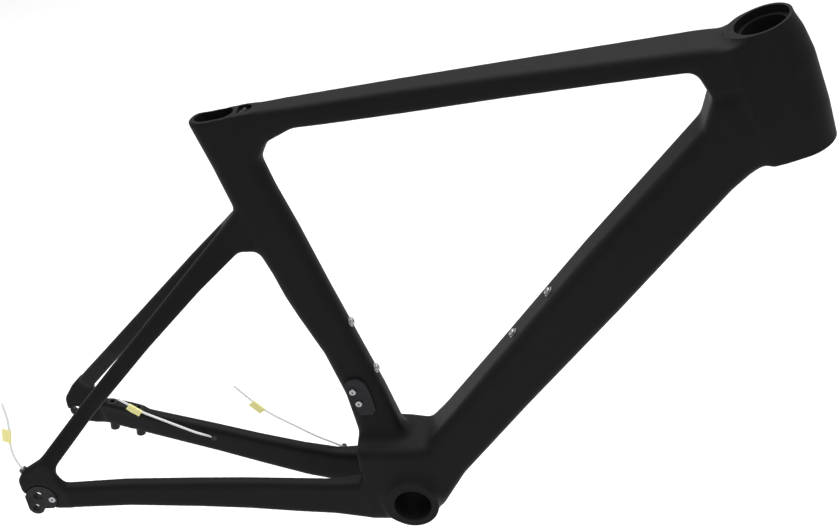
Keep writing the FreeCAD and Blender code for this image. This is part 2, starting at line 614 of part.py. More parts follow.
def arc_path(points):
    """Straight runs joined by tangent arcs as large as the runs allow, with each arc's radius."""
    edges, radii, start = [], [], points[0]
    for before, corner, after in zip(points, points[1:], points[2:]):
        back, ahead = before - corner, after - corner
        half_turn = (math.pi - back.getAngle(ahead)) / 2
        cut = ARC_SHARE * min(back.Length, ahead.Length)
        radii.append(cut / math.tan(half_turn))
        back, ahead = unit(back), unit(ahead)
        first, last = corner + back * cut, corner + ahead * cut
        bisector = unit(back + ahead)
        middle = corner + bisector * (radii[-1] / math.cos(half_turn) - radii[-1])
        edges.append(Part.LineSegment(start, first).toShape())
        edges.append(Part.Arc(first, middle, last).toShape())
        start = last
    edges.append(Part.LineSegment(start, points[-1]).toShape())
    return Part.Wire(edges), radii


def tag_shape(points, run, liner):
    """A piece of tape folded round the liner over one run, its free part standing to one side."""
    start, end = points[run], points[run + 1]
    middle, along = (start + end) * 0.5, unit(end - start)
    out = unit(along.cross(SIDE))
    across = unit(out.cross(along))
    sleeve = cylinder(middle - along * (TAG_LENGTH / 2), along, LINER_R + TAG_THICK, TAG_LENGTH)
    near = middle - along * (TAG_LENGTH / 2) - across * (TAG_THICK / 2)
    far = near + out * TAG_WIDTH
    length = along * TAG_LENGTH
    flag = Part.Face(Part.makePolygon([near, far, far + length, near + length, near]))
    return sleeve.fuse(flag.extrude(across * TAG_THICK)).cut(liner)


def build_liner(name, points, tag_run, port_axis, port_r, port_thick, host):
    """A liner from its port outwards, with the port it comes out of and the tape round one of its runs."""
    path, radii = arc_path(points)
    ring = Part.Wire(Part.makeCircle(LINER_R, points[0], points[1] - points[0]))
    solid = path.makePipeShell([ring], True, True)
    share = solid.Volume / (math.pi * LINER_R**2 * path.Length)
    print(name, "radii", [round(radius, 1) for radius in radii], "length", round(path.Length, 1),
          "volume over section times length", round(share, 4))
    port = cylinder(points[0], port_axis, port_r, port_thick).cut(solid).cut(host)
    solid = solid.cut(host)
    write(name + "_liner", solid)
    write(name + "_port", port)
    write(name + "_tag", tag_shape(points, tag_run, solid))


def build_cables():
    stay = loft(CHAINSTAY)
    gear_way = unit(GEAR_LINER[1] - GEAR_LINER[0])
    build_liner("gear_cable", GEAR_LINER, 3, gear_way, GROMMET_R, GROMMET_THICK, right_dropout_plate())
    build_liner("brake_hose", BRAKE_LINER, 4, -SIDE, PORT_R, PORT_THICK, stay)
    build_liner("shift_cable", SHIFT_LINER, 4, V(0, 0, 1), PORT_R, PORT_THICK, stay)


os.makedirs("parts", exist_ok=True)
build_head()
build_main_triangle()
build_bottom_bracket()
build_stays()
build_dropouts()
build_bosses()
build_front_mount()
build_seat_clamp()
build_cables()
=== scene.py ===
import json
import math
import bmesh
import bpy
import numpy as np
import openvdb
from mathutils import Matrix, Vector


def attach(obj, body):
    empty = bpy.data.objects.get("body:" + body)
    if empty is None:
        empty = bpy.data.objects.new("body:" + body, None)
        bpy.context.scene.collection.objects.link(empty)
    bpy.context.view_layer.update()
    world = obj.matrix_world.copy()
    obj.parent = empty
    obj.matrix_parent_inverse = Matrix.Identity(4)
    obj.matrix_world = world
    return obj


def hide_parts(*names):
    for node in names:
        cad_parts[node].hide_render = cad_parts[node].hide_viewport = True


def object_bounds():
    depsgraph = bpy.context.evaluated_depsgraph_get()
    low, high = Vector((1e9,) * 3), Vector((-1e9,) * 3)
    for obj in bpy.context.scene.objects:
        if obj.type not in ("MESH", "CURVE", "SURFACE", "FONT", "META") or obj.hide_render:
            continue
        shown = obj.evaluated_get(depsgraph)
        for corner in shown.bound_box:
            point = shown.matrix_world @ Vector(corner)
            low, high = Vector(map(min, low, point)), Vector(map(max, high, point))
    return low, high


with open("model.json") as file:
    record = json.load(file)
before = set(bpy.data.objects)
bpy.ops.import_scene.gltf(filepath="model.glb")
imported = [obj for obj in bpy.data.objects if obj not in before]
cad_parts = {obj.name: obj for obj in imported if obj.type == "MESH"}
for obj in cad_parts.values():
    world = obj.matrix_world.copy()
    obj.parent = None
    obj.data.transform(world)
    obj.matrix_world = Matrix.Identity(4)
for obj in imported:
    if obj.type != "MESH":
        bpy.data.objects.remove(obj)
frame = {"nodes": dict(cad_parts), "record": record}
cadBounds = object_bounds()
mm = 0.001
side = Vector((0, 1, 0))
mounts = {m["name"]: m for m in frame["record"]["mounts"]}
print("frame loaded:", len(frame["nodes"]), "nodes")

cameraSetup = {
    "target": (0.043694, 0.0, 0.285626),
    "distance": 1.50618,
    "turn": 10.622,  # degrees, as the two below are
    "down": 31.746,
    "roll": -9.475,
    "lens": 63.304,
    "sensor": 36,
}


def makeCamera(c):
    turn, down, roll = (math.radians(c[k]) for k in ("turn", "down", "roll"))
    level = math.cos(down)
    ahead = Vector((-math.sin(turn) * level, math.cos(turn) * level, -math.sin(down)))
    right = Vector((math.cos(turn), math.sin(turn), 0))
    up = right.cross(ahead)
    rolledRight = right * math.cos(roll) + up * math.sin(roll)
    rolledUp = up * math.cos(roll) - right * math.sin(roll)
    data = bpy.data.cameras.new("camera")
    data.sensor_width = c["sensor"]
    data.lens = c["lens"]
    camera = bpy.data.objects.new("camera", data)
    turned = Matrix((rolledRight, rolledUp, -ahead)).transposed().to_4x4()
    camera.matrix_world = Matrix.Translation(Vector(c["target"]) - ahead * c["distance"]) @ turned
    bpy.context.scene.collection.objects.link(camera)
    bpy.context.scene.camera = camera


makeCamera(cameraSetup)


def place(name, mesh, material, slot, *nodes, body="frame"):
    piece = bpy.data.objects.new(name, mesh)
    bpy.context.scene.collection.objects.link(piece)
    mesh.materials.clear()
    mesh.materials.append(material)
    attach(piece, body)
    if nodes:
        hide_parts(*nodes)
    return piece


def meshOf(points, faces, name):
    mesh = bpy.data.meshes.new(name)
    mesh.from_pydata([tuple(p) for p in points], [], faces)
    mesh.update()
    return mesh


aslant = Vector((0.3, 0.8, 0.52))  # lies along no part of the frame


def unitAcross(axis):
    first = axis.cross(aslant).normalized()
    return first, axis.cross(first).normalized()


def prismMesh(outline, shift, name):
    # a closed prism from a ring of points moved by a vector
    count = len(outline)
    points = list(outline) + [p + shift for p in outline]
    faces = [[(i + 1) % count, i, count + i, count + (i + 1) % count] for i in range(count)]
    faces += [list(range(count)), list(range(2 * count - 1, count - 1, -1))]
    mesh = meshOf(points, faces, name)
    bm = bmesh.new()
    bm.from_mesh(mesh)
    bmesh.ops.recalc_face_normals(bm, faces=bm.faces)
    bm.to_mesh(mesh)
    bm.free()
    return mesh


def tubeCutter(centre, axis, radius, length, name, segments=96):
    axis = Vector(axis).normalized()
    first, second = unitAcross(axis)
    start = Vector(centre) - axis * length / 2
    ring = []
    for i in range(segments):
        angle = math.tau * i / segments
        ring.append(start + first * (radius * math.cos(angle)) + second * (radius * math.sin(angle)))
    return prismMesh(ring, axis * length, name)


def carve(piece, cutters):
    # cuts closed meshes out of a piece, and leaves its rims crisp
    for cutter in cutters:
        tool = bpy.data.objects.new("tool", cutter)
        bpy.context.scene.collection.objects.link(tool)
        modifier = piece.modifiers.new("carve", "BOOLEAN")
        modifier.operation = "DIFFERENCE"
        modifier.solver = "EXACT"
        modifier.object = tool
        graph = bpy.context.evaluated_depsgraph_get()
        carved = bpy.data.meshes.new_from_object(piece.evaluated_get(graph))
        piece.modifiers.clear()
        piece.data = carved
        bpy.data.objects.remove(tool)


def smoothWithCreases(piece, degrees=34):
    piece.data.shade_smooth()
    piece.data.set_sharp_from_angle(angle=math.radians(degrees))


def groupOf(name, inputs, outputs):
    group = bpy.data.node_groups.new(name, "ShaderNodeTree")
    for label, kind, value in inputs:
        socket = group.interface.new_socket(name=label, in_out="INPUT", socket_type=kind)
        if value is not None:
            socket.default_value = value
    for label, kind in outputs:
        group.interface.new_socket(name=label, in_out="OUTPUT", socket_type=kind)
    start = group.nodes.new("NodeGroupInput")
    end = group.nodes.new("NodeGroupOutput")
    return group, start, end


def mathNode(tree, operation, a, b=None):
    node = tree.nodes.new("ShaderNodeMath")
    node.operation = operation
    for index, value in enumerate((a, b)):
        if value is None:
            continue
        if isinstance(value, (int, float)):
            node.inputs[index].default_value = value
        else:
            tree.links.new(value, node.inputs[index])
    return node.outputs[0]


def noiseNode(tree, vector, scale, detail=3.0, roughness=0.5):
    node = tree.nodes.new("ShaderNodeTexNoise")
    tree.links.new(vector, node.inputs["Vector"])
    if isinstance(scale, (int, float)):
        node.inputs["Scale"].default_value = scale
    else:
        tree.links.new(scale, node.inputs["Scale"])
    node.inputs["Detail"].default_value = detail
    node.inputs["Roughness"].default_value = roughness
    return node.outputs[0]


fibreSetup = {"squeeze": (0.035, 1.0, 1.0), "detail": 2.0, "fineRoughness": 0.6, "fineShare": 0.6,
              "broadScale": 160.0, "broadRoughness": 0.5, "broadShare": 0.4}


def makeFibreGroup(s):
    # long fine streaks that lie along one direction of the XZ plane, as in laid carbon tape
    group, start, end = groupOf(
        "layFibres",
        [("Turn", "NodeSocketFloat", 0.0), ("Fineness", "NodeSocketFloat", 900.0)],
        [("Streaks", "NodeSocketFloat"), ("Height", "NodeSocketFloat")])
    where = group.nodes.new("ShaderNodeTexCoord").outputs["Object"]
    rotate = group.nodes.new("ShaderNodeVectorRotate")
    rotate.rotation_type = "Y_AXIS"
    group.links.new(where, rotate.inputs["Vector"])
    group.links.new(start.outputs["Turn"], rotate.inputs["Angle"])
    stretch = group.nodes.new("ShaderNodeVectorMath")
    stretch.operation = "MULTIPLY"
    stretch.inputs[1].default_value = s["squeeze"]
    group.links.new(rotate.outputs[0], stretch.inputs[0])
    laid = stretch.outputs[0]
    fine = noiseNode(group, laid, start.outputs["Fineness"], s["detail"], s["fineRoughness"])
    broad = noiseNode(group, laid, s["broadScale"], s["detail"], s["broadRoughness"])
    fineShare = mathNode(group, "MULTIPLY", fine, s["fineShare"])
    broadShare = mathNode(group, "MULTIPLY", broad, s["broadShare"])
    group.links.new(mathNode(group, "ADD", fineShare, broadShare), end.inputs["Streaks"])
    group.links.new(fine, end.inputs["Height"])
    return group


wearAndEdgeHighlightSetup = {"flat": 0.505, "sharp": 0.60, "detail": 4.0, "roughness": 0.6}  # worn, and given a painted highlight, from flat up to sharp


def makeWearAndEdgeHighlightGroup(s):
    # how much an edge is rubbed and carries a painted highlight, broken up by noise
    group, start, end = groupOf(
        "rubbedAndHighlitEdges",
        [("Amount", "NodeSocketFloat", 0.5), ("Patch", "NodeSocketFloat", 60.0)],
        [("Mask", "NodeSocketFloat")])
    geometry = group.nodes.new("ShaderNodeNewGeometry")
    where = group.nodes.new("ShaderNodeTexCoord").outputs["Object"]
    ramp = group.nodes.new("ShaderNodeMapRange")
    ramp.inputs["From Min"].default_value = s["flat"]
    ramp.inputs["From Max"].default_value = s["sharp"]
    group.links.new(geometry.outputs["Pointiness"], ramp.inputs["Value"])
    patch = noiseNode(group, where, start.outputs["Patch"], s["detail"], s["roughness"])
    broken = mathNode(group, "MULTIPLY", ramp.outputs[0], patch)
    group.links.new(mathNode(group, "MULTIPLY", broken, start.outputs["Amount"]), end.inputs["Mask"])
    return group


hazeAndTopLightSetup = {"detail": 5.0, "roughness": 0.55, "fineScale": 1400.0, "fineDetail": 2.0, "fineRoughness": 0.6,
             "paintedTopLight": 0.35, "everywhere": 0.65}


def makeHazeAndTopLightGroup(s):
    # a faint uneven haze, with painted top light: the haze is stronger on faces that look up
    group, start, end = groupOf(
        "unevenHazeAndTopLight",
        [("Amount", "NodeSocketFloat", 0.2), ("Size", "NodeSocketFloat", 14.0)],
        [("Mask", "NodeSocketFloat"), ("Fine", "NodeSocketFloat")])
    geometry = group.nodes.new("ShaderNodeNewGeometry")
    split = group.nodes.new("ShaderNodeSeparateXYZ")
    group.links.new(geometry.outputs["Normal"], split.inputs[0])
    where = group.nodes.new("ShaderNodeTexCoord").outputs["Object"]
    cloud = noiseNode(group, where, start.outputs["Size"], s["detail"], s["roughness"])
    fine = noiseNode(group, where, s["fineScale"], s["fineDetail"], s["fineRoughness"])
    # painted top light: faces that look up get more of the haze
    topLightShare = mathNode(group, "MULTIPLY", split.outputs["Z"], s["paintedTopLight"])
    hazeWithTopLight = mathNode(group, "MULTIPLY", cloud, mathNode(group, "ADD", topLightShare, s["everywhere"]))
    haze = mathNode(group, "MULTIPLY", hazeWithTopLight, start.outputs["Amount"])
    group.links.new(haze, end.inputs["Mask"])
    group.links.new(fine, end.inputs["Fine"])
    return group


fibreGroup = makeFibreGroup(fibreSetup)
wearAndEdgeHighlightGroup = makeWearAndEdgeHighlightGroup(wearAndEdgeHighlightSetup)
hazeAndTopLightGroup = makeHazeAndTopLightGroup(hazeAndTopLightSetup)


def useGroup(tree, group, **values):
    node = tree.nodes.new("ShaderNodeGroup")
    node.node_tree = group
    for label, value in values.items():
        node.inputs[label].default_value = value
    return node


def mixColour(tree, factor, first, second):
    node = tree.nodes.new("ShaderNodeMix")
    node.data_type = "RGBA"
    tree.links.new(factor, node.inputs["Factor"])
    for socket, colour in ((node.inputs["A"], first), (node.inputs["B"], second)):
        if isinstance(colour, tuple):
            socket.default_value = (*colour, 1)
        else:
            tree.links.new(colour, socket)
    return node.outputs["Result"]


noiseRange = (0.3, 0.7)  # what noise mostly keeps within


def spread(tree, value, low, high):
    node = tree.nodes.new("ShaderNodeMapRange")
    node.inputs["From Min"].default_value = noiseRange[0]
    node.inputs["From Max"].default_value = noiseRange[1]
    node.inputs["To Min"].default_value = low
    node.inputs["To Max"].default_value = high
    tree.links.new(value, node.inputs["Value"])
    return node.outputs[0]


def bumpOf(tree, height, distance, strength=1.0, below=None):
    node = tree.nodes.new("ShaderNodeBump")
    node.inputs["Strength"].default_value = strength
    node.inputs["Distance"].default_value = distance
    tree.links.new(height, node.inputs["Height"])
    if below is not None:
        tree.links.new(below, node.inputs["Normal"])
    return node.outputs[0]


def newMaterial(name):
    material = bpy.data.materials.new(name)
    material.use_nodes = True
    return material, material.node_tree, material.node_tree.nodes["Principled BSDF"]


def connect(tree, shader, colour, roughness, normal):
    tree.links.new(colour, shader.inputs["Base Color"])
    tree.links.new(roughness, shader.inputs["Roughness"])
    tree.links.new(normal, shader.inputs["Normal"])


carbonLook = {
    "dark": (0.0040, 0.0040, 0.0044),
    "light": (0.0076, 0.0076, 0.0084),
    # edge colour: rubbed wear and a painted edge highlight
    "rubbedAndHighlit": (0.030, 0.030, 0.032),
    # lighter haze colour, laid on unevenly and also as painted top light on faces that look up
    "haze": (0.0135, 0.0137, 0.0150),
    "roughness": (0.46, 0.60),
    "fibreDepth": 0.00004,
    "grainDepth": 0.00003,
    "wearAndEdgeHighlight": 0.12,
    # amount of uneven dust and of painted top light on faces that look up
    "dustAndTopLight": 0.5,
    "specular": 0.085,
}


def makeCarbon(name, turnDegrees):
    look = carbonLook
    material, tree, shader = newMaterial(name)
    fibres = useGroup(tree, fibreGroup, Turn=math.radians(turnDegrees))
    wearAndEdgeHighlight = useGroup(tree, wearAndEdgeHighlightGroup, Amount=look["wearAndEdgeHighlight"])
    haze = useGroup(tree, hazeAndTopLightGroup, Amount=look["dustAndTopLight"])
    base = mixColour(tree, spread(tree, fibres.outputs["Streaks"], 0, 1), look["dark"], look["light"])
    # painted top light: the lighter haze colour is mixed in more on faces that look up
    hazeAndTopLit = mixColour(tree, haze.outputs["Mask"], base, look["haze"])
    # sharp edges: real rubbing wear, and a painted highlight along them
    wornAndEdgeLit = mixColour(tree, wearAndEdgeHighlight.outputs["Mask"], hazeAndTopLit, look["rubbedAndHighlit"])
    rough = spread(tree, fibres.outputs["Streaks"], *look["roughness"])
    grain = bumpOf(tree, haze.outputs["Fine"], look["grainDepth"])
    fibreBump = bumpOf(tree, fibres.outputs["Height"], look["fibreDepth"], 1.0, grain)
    connect(tree, shader, wornAndEdgeLit, rough, fibreBump)
    shader.inputs["Specular IOR Level"].default_value = look["specular"]
    return material


metalHaze = 220.0
metalPatch = 300.0
metalSpecular = 0.3


def makeMetal(name, look):
    material, tree, shader = newMaterial(name)
    haze = useGroup(tree, hazeAndTopLightGroup, Amount=look["haze"], Size=metalHaze)
    wearAndEdgeHighlight = useGroup(tree, wearAndEdgeHighlightGroup, Amount=look["wearAndEdgeHighlight"], Patch=metalPatch)
    base = mixColour(tree, haze.outputs["Mask"], look["colour"], look["dull"])
    # sharp edges: bare metal from wear, and a painted edge highlight
    wornAndEdgeLit = mixColour(tree, wearAndEdgeHighlight.outputs["Mask"], base, look["bare"])
    rough = spread(tree, haze.outputs["Fine"], *look["roughness"])
    connect(tree, shader, wornAndEdgeLit, rough, bumpOf(tree, haze.outputs["Fine"], look["depth"]))
    shader.inputs["Metallic"].default_value = look["metallic"]
    shader.inputs["Specular IOR Level"].default_value = look.get("specular", metalSpecular)
    return material


def makeSoft(name, look):
    material, tree, shader = newMaterial(name)
    haze = useGroup(tree, hazeAndTopLightGroup, Amount=look["haze"], Size=look["size"])
    colour = mixColour(tree, haze.outputs["Mask"], look["colour"], look["dull"])
    rough = spread(tree, haze.outputs["Fine"], *look["roughness"])
    connect(tree, shader, colour, rough, bumpOf(tree, haze.outputs["Fine"], look["depth"]))
    return material


# bare: the colour at worn edges, which is also a painted edge highlight
steelLook = {"colour": (0.42, 0.42, 0.43), "dull": (0.24, 0.24, 0.25), "bare": (0.62, 0.62, 0.63),
             "haze": 0.7, "wearAndEdgeHighlight": 0.5, "roughness": (0.24, 0.38), "depth": 0.00002, "metallic": 1.0}
blackSteelLook = {"colour": (0.014, 0.014, 0.015), "dull": (0.026, 0.026, 0.025), "bare": (0.16, 0.16, 0.17),
                  "haze": 0.7, "wearAndEdgeHighlight": 0.6, "roughness": (0.32, 0.45), "depth": 0.00002, "metallic": 0.5}
alloyLook = {"colour": (0.30, 0.30, 0.31), "dull": (0.20, 0.20, 0.21), "bare": (0.50, 0.50, 0.52),
             "haze": 0.7, "wearAndEdgeHighlight": 0.5, "roughness": (0.28, 0.42), "depth": 0.00002, "metallic": 1.0}
anodisedLook = {"colour": (0.005, 0.005, 0.006), "dull": (0.010, 0.010, 0.011), "bare": (0.10, 0.10, 0.11),
                "haze": 0.6, "wearAndEdgeHighlight": 0.25, "roughness": (0.38, 0.50), "depth": 0.00002, "metallic": 0.1,
                "specular": 0.12}
rubberLook = {"colour": (0.012, 0.012, 0.012), "dull": (0.040, 0.039, 0.038), "haze": 0.6, "size": 300.0,
              "roughness": (0.62, 0.78), "depth": 0.00004}
linerLook = {"colour": (0.78, 0.80, 0.79), "dull": (0.64, 0.66, 0.65), "haze": 0.5, "size": 180.0,
             "roughness": (0.30, 0.42), "depth": 0.00001}
tapeLook = {"colour": (0.86, 0.80, 0.25), "dull": (0.93, 0.90, 0.52), "haze": 0.9, "size": 240.0,
            "roughness": (0.40, 0.55), "depth": 0.00005}

carbonAlong = {  # one for each direction that the fibre is laid in, in degrees
    "topTube": makeCarbon("carbonTopTube", -4),
    "downTube": makeCarbon("carbonDownTube", -49),
    "seatTube": makeCarbon("carbonSeatTube", 74),
    "headTube": makeCarbon("carbonHeadTube", 73),
    "stays": makeCarbon("carbonStays", 8),
    "seatstays": makeCarbon("carbonSeatstays", -44),
}
steel = makeMetal("brightSteel", steelLook)
blackSteel = makeMetal("blackSteel", blackSteelLook)
alloy = makeMetal("bareAlloy", alloyLook)
anodised = makeMetal("blackAlloy", anodisedLook)
rubber = makeSoft("portRubber", rubberLook)
linerPlastic = makeSoft("linerPlastic", linerLook)
tape = makeSoft("tapeYellow", tapeLook)
print("materials made")

# The bonded tubes become one moulded skin, rounded where they meet, then parted along the bond lines.
skinSetup = {
    "voxel": 1.8 * mm,
    "frontFillet": 11 * mm,
    "rearFillet": 5 * mm,
    "blurRounds": 2,
    "swell": 0.35 * mm,  # gives back what the blur takes off the rounded edges
    "endSpare": 9 * mm,  # how far the plugs stand out, so that the ends can be cut flat
    "nodes": ("head_tube", "upper_headset_seat", "lower_headset_seat", "top_tube", "down_tube",
              "seat_tube_upper", "seatpost_sleeve", "seat_tube_lower", "bottom_bracket_junction",
              "bottom_bracket_shell", "seatstay_bridge", "chainstay_left", "chainstay_right", "seatstay_left",
              "seatstay_right", "dropout_left", "dropout_right", "brake_mount_pad"),
    "margin": 6,  # voxels of empty space round the field
    "rearLine": ((-163.5, 471.0), (-113.5, 290.0)),  # behind it the small fillet is used
}


def soupOf(names, plugs):
    # every triangle of some CAD nodes, and of the plugs that fill their bores for now
    meshes = [frame["nodes"][name].data for name in names] + plugs
    points, triangles, start = [], [], 0
    for mesh in meshes:
        mesh.calc_loop_triangles()
        co = np.zeros(len(mesh.vertices) * 3, np.float32)
        mesh.vertices.foreach_get("co", co)
        corner = np.zeros(len(mesh.loop_triangles) * 3, np.int32)
        mesh.loop_triangles.foreach_get("vertices", corner)
        points.append(co.reshape(-1, 3))
        triangles.append(corner.reshape(-1, 3) + start)
        start += len(mesh.vertices)
    return np.vstack(points), np.vstack(triangles)


spareVoxels = 3


def levelSet(points, triangles, quads, voxel, reach):
    return openvdb.FloatGrid.createLevelSetFromPolygons(
        np.ascontiguousarray(points, np.float32), triangles=triangles, quads=quads,
        transform=openvdb.createLinearTransform(voxelSize=voxel), halfWidth=reach / voxel + spareVoxels)


fewestPoints = 200  # a surface with fewer is a crumb


def outermost(points, quads):
    # keeps the one closed surface that spans the most, and drops what lies inside it
    label = np.arange(len(points))
    while True:
        lowest = label[quads].min(axis=1)
        new = label.copy()
        for corner in range(4):
            np.minimum.at(new, quads[:, corner], lowest)
        new = new[new]
        if (new == label).all():
            break
        label = new
    groups, counts = np.unique(label, return_counts=True)
    spans = [(np.ptp(points[label == g], axis=0).prod(), g) for g in groups[counts > fewestPoints]]
    keep = label == max(spans)[1]
    index = np.cumsum(keep) - 1
    return points[keep], index[quads[keep[quads[:, 0]]]]


def filleted(grid, voxel, fillet):
    # grows the solid and shrinks it back, which leaves a fillet in each inner corner
    points, quads = grid.convertToQuads(isovalue=fillet)
    grown, quads = outermost(points.astype(float), quads.astype(int))
    return levelSet(grown, None, quads.astype(np.uint32), voxel, fillet)


def fieldOf(grid, low, size, offset):
    field = np.zeros(size, np.float32)
    grid.copyToArray(field, ijk=low)
    return field + offset


ownWeight, sideWeight = 0.5, 0.25


def blurred(field, rounds):
    for _ in range(rounds):
        for axis in range(3):
            inner, before, after = ([slice(None)] * 3 for _ in range(3))
            inner[axis], before[axis], after[axis] = slice(1, -1), slice(None, -2), slice(2, None)
            inner, before, after = tuple(inner), tuple(before), tuple(after)
            new = field.copy()
            new[inner] = ownWeight * field[inner] + sideWeight * (field[before] + field[after])
            field = new
    return field


shellCentre = Vector(mounts["bottom_bracket"]["pos_m"])
shellBore = mounts["bottom_bracket"]["dims"]["r_mm"] * mm
shellWidth = mounts["bottom_bracket"]["dims"]["length_mm"] * mm
shellRing = 28.5 * mm
headUp = Vector(mounts["upper_headset"]["axis"])
bearingHalf = mounts["upper_headset"]["dims"]["length_mm"] * mm / 2
headTop = Vector(mounts["upper_headset"]["pos_m"]) + headUp * bearingHalf
headFoot = Vector(mounts["lower_headset"]["pos_m"]) - headUp * bearingHalf
headCollar = 28.6 * mm


def makeSkin(s):
    spare = 2 * s["endSpare"]
    headLength = (headTop - headFoot).length
    plugs = [
        tubeCutter(shellCentre, side, shellRing, shellWidth + spare, "plug"),
        tubeCutter((headTop + headFoot) / 2, headUp, headCollar, headLength + spare, "plug"),
    ]
    voxel = s["voxel"]
    base = levelSet(*soupOf(s["nodes"], plugs), None, voxel, s["frontFillet"])
    margin = int(s["frontFillet"] / voxel) + s["margin"]
    low = [int(c / voxel) - margin for c in cadBounds[0]]
    size = [int(c / voxel) + margin - start for c, start in zip(cadBounds[1], low)]
    front = fieldOf(filleted(base, voxel, s["frontFillet"]), low, size, s["frontFillet"])
    rear = fieldOf(filleted(base, voxel, s["rearFillet"]), low, size, s["rearFillet"])
    (x1, z1), (x2, z2) = [(x * mm, z * mm) for x, z in s["rearLine"]]
    x = (np.arange(size[0]) + low[0])[:, None] * voxel
    z = (np.arange(size[2]) + low[2])[None, :] * voxel
    behind = ((x - x1) * (z2 - z1) - (z - z1) * (x2 - x1)) / math.hypot(x2 - x1, z2 - z1)
    front += np.maximum(behind, 0)[:, None, :].astype(np.float32)
    field = blurred(np.minimum(front, rear), s["blurRounds"])
    grid = openvdb.FloatGrid(spareVoxels * voxel)
    grid.transform = openvdb.createLinearTransform(voxelSize=voxel)
    grid.copyFromArray(field, ijk=low)
    points, quads = grid.convertToQuads(isovalue=s["swell"])
    points, quads = outermost(points, quads.astype(int))
    mesh = bpy.data.meshes.new("skin")
    mesh.from_pydata(points.tolist(), [], quads[:, ::-1].tolist())
    return mesh


skinMesh = makeSkin(skinSetup)
print("skin made:", len(skinMesh.polygons), "faces")

# Each bond line is two (x, z) points in mm: the piece on its left, looking from first to second, comes first.
bondLines = {
    "head": ((393.9, 383.2), (355.0, 511.4)),
    "seatFront": ((33.0, 20.0), (-81.0, 500.0)),
    "topDown": ((371.75, 463.0), (-60.0, 384.8)),
    "dropouts": ((-372.0, 40.0), (-384.0, 112.0)),
    "low": ((-60.0, 80.0), (-379.0, 93.0)),
    "seatRear": ((-113.5, 290.0), (-163.5, 471.0)),
    "root": ((-50.0, -27.5), (-53.0, 75.66)),
}


def partedBy(mesh, point, normal):
    # the two sides of a mesh, each closed again where it was cut
    halves = []
    for sign in (1, -1):
        bm = bmesh.new()
        bm.from_mesh(mesh)
        everything = bm.verts[:] + bm.edges[:] + bm.faces[:]
        bmesh.ops.bisect_plane(bm, geom=everything, plane_co=point, plane_no=normal * sign, clear_inner=True)
        rim = [edge for edge in bm.edges if edge.is_boundary]
        filled = bmesh.ops.holes_fill(bm, edges=rim, sides=0)
        bmesh.ops.triangulate(bm, faces=filled["faces"])
        half = bpy.data.meshes.new("half")
        bm.to_mesh(half)
        bm.free()
        halves.append(half)
    return halves


def parted(mesh, bond):
    (x1, z1), (x2, z2) = bondLines[bond]
    return partedBy(mesh, Vector((x1 * mm, 0, z1 * mm)), Vector((z1 - z2, 0, x2 - x1)).normalized())


def leftAndRight(mesh):
    return partedBy(mesh, Vector((0, 0, 0)), side)


behindHead, headMesh = parted(skinMesh, "head")
backMesh, frontMesh = parted(behindHead, "seatFront")
downMesh, topMesh = parted(frontMesh, "topDown")
dropoutMesh, middleMesh = parted(backMesh, "dropouts")
lowMesh, highMesh = parted(middleMesh, "low")
seatstayMesh, seatMesh = parted(highMesh, "seatRear")
chainstayMesh, shellMesh = parted(lowMesh, "root")
leftStay, rightStay = leftAndRight(chainstayMesh)
leftSeatstay, rightSeatstay = leftAndRight(seatstayMesh)
leftDropout, rightDropout = leftAndRight(dropoutMesh)
headMesh = partedBy(partedBy(headMesh, headTop, headUp)[1], headFoot, headUp)[0]
shellMesh = partedBy(partedBy(shellMesh, side * shellWidth / 2, side)[1], side * -shellWidth / 2, side)[0]
print("skin parted")

headLook = {"seatRing": 27.2 * mm, "seatDepth": 11 * mm, "steerer": 21.5 * mm}


def makeHead(look):
    piece = place("headTubeSkin", headMesh, carbonAlong["headTube"], "carbon", "head_tube")
    reach = 2 * (headTop - headFoot).length
    carve(piece, [
        tubeCutter(headTop, headUp, look["seatRing"], 2 * look["seatDepth"], "topSeat"),
        tubeCutter(headFoot, headUp, look["seatRing"], 2 * look["seatDepth"], "footSeat"),
        tubeCutter((headTop + headFoot) / 2, headUp, look["steerer"], reach, "steerer"),
    ])
    smoothWithCreases(piece)


makeHead(headLook)

shellLook = {"outer": 23.4 * mm, "chamfer": 0.8 * mm, "proud": 0.15 * mm, "fit": 0.05 * mm, "segments": 128}


def turned(name, centre, axis, profile, segments):
    # a closed ring from (distance along the axis, radius) points
    axis = Vector(axis).normalized()
    first, second = unitAcross(axis)
    points, faces, count = [], [], len(profile)
    for i in range(segments):
        angle = math.tau * i / segments
        out = first * math.cos(angle) + second * math.sin(angle)
        points += [Vector(centre) + axis * along + out * radius for along, radius in profile]
    for i in range(segments):
        here, there = i * count, (i + 1) % segments * count
        for k in range(count):
            m = (k + 1) % count
            faces.append([here + k, here + m, there + m, there + k])
    mesh = meshOf(points, faces, name)
    bm = bmesh.new()
    bm.from_mesh(mesh)
    bmesh.ops.recalc_face_normals(bm, faces=bm.faces)
    bm.to_mesh(mesh)
    bm.free()
    return mesh


def makeShell(look):
    around = place("bottomBracketSkin", shellMesh, carbonAlong["stays"], "carbon", "bottom_bracket_junction")
    carve(around, [tubeCutter(shellCentre, side, look["outer"], 2 * shellWidth, "shellRoom")])
    smoothWithCreases(around)
    end = shellWidth / 2 + look["proud"]
    cut, inner, outer = look["chamfer"], shellBore, look["outer"] - look["fit"]
    profile = [(-end, inner + cut), (-end, outer), (end, outer), (end, inner + cut), (end - cut, inner),
               (-end + cut, inner)]
    mesh = turned("pressFitShell", shellCentre, side, profile, look["segments"])
    piece = place("pressFitShell", mesh, carbonAlong["headTube"], "carbon", "bottom_bracket_shell")
    smoothWithCreases(piece)


makeShell(shellLook)

topTube = place("topTubeSkin", topMesh, carbonAlong["topTube"], "carbon", "top_tube")
downTube = place("downTubeSkin", downMesh, carbonAlong["downTube"], "carbon", "down_tube")
smoothWithCreases(topTube)
smoothWithCreases(downTube)

